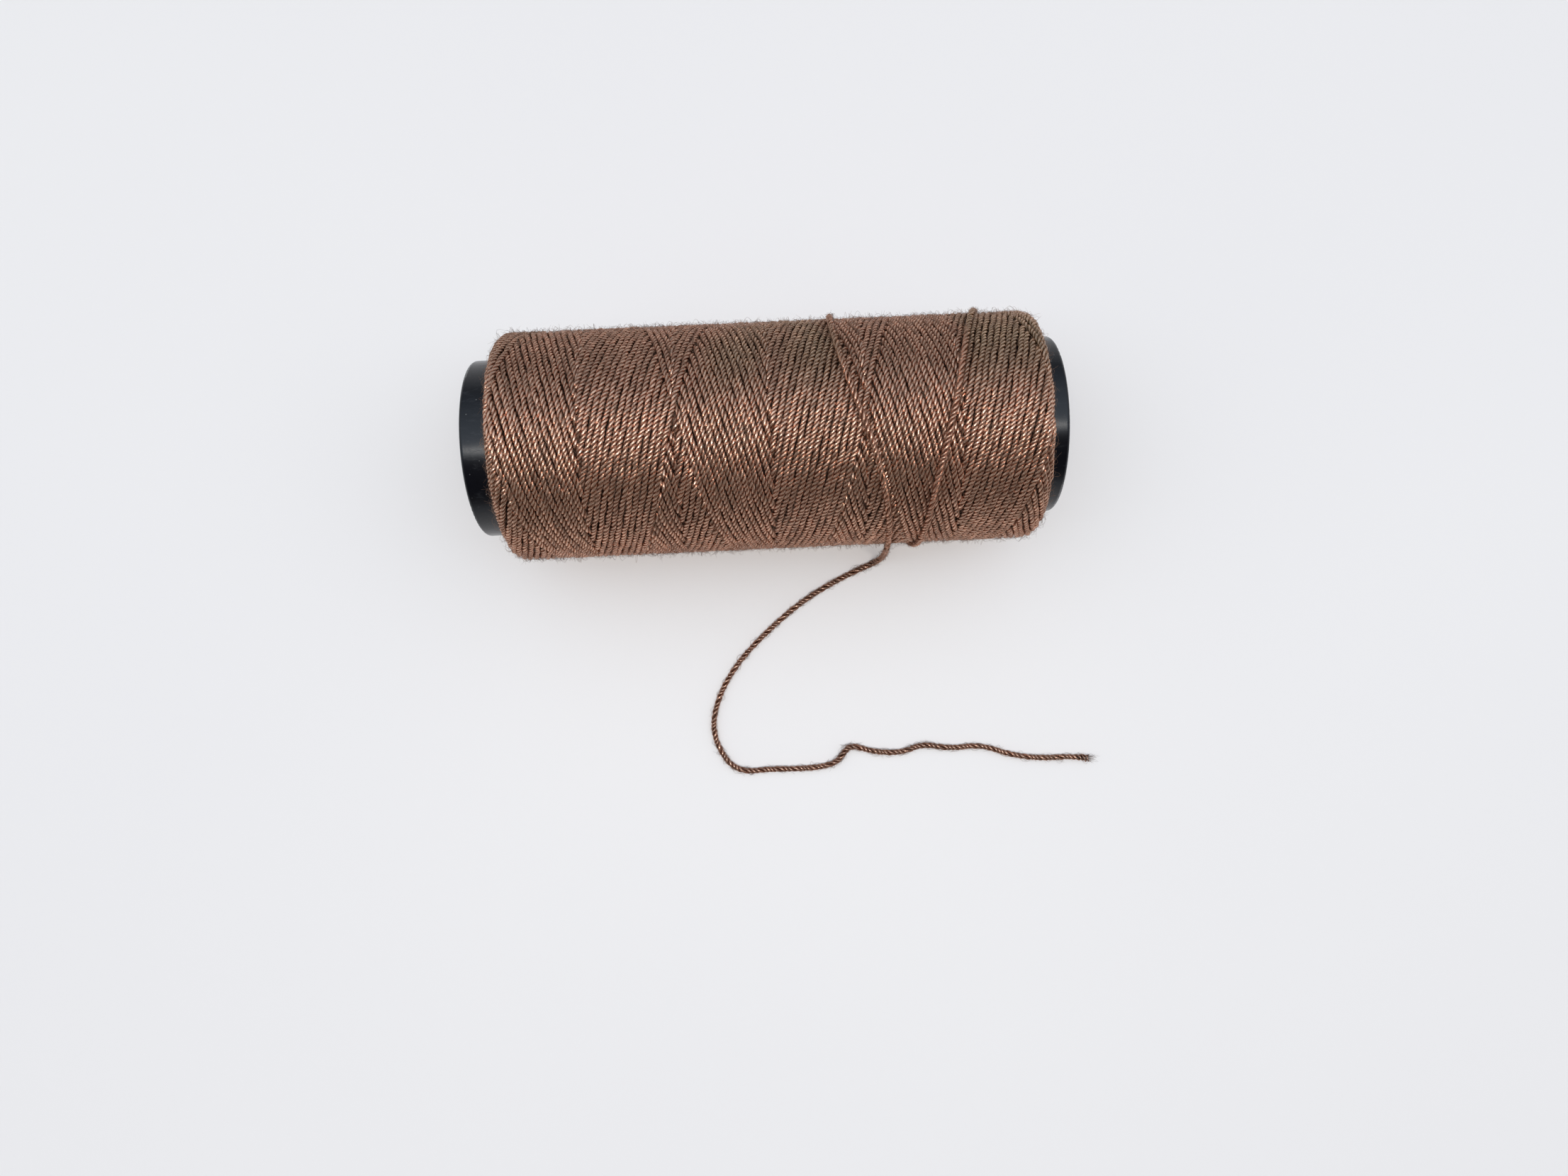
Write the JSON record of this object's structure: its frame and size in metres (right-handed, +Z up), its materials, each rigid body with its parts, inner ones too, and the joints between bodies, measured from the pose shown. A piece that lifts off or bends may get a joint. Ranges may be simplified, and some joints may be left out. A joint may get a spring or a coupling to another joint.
{
  "type": "waxed thread spool",
  "caption": "Waxed three-ply sewing thread cross-wound on a hollow black plastic tube, lying on its side with a loose last wrap and a free end.",
  "frame": {"origin": "on the surface the spool lies on, under the middle of the tube", "axes": "+X along the spool's axis, towards the end that the winding comes nearer to; +Z up; the free end lies on the -Y side"},
  "size_m": [0.098, 0.076, 0.0358],
  "materials": {
    "black_plastic": "gloss",
    "waxed_thread": "satin"
  },
  "bodies": {
    "root": {"core_tube": "black_plastic", "wound_thread": "waxed_thread", "loose_wrap": "waxed_thread", "thread_tail": "waxed_thread"}
  },
  "joints": []
}
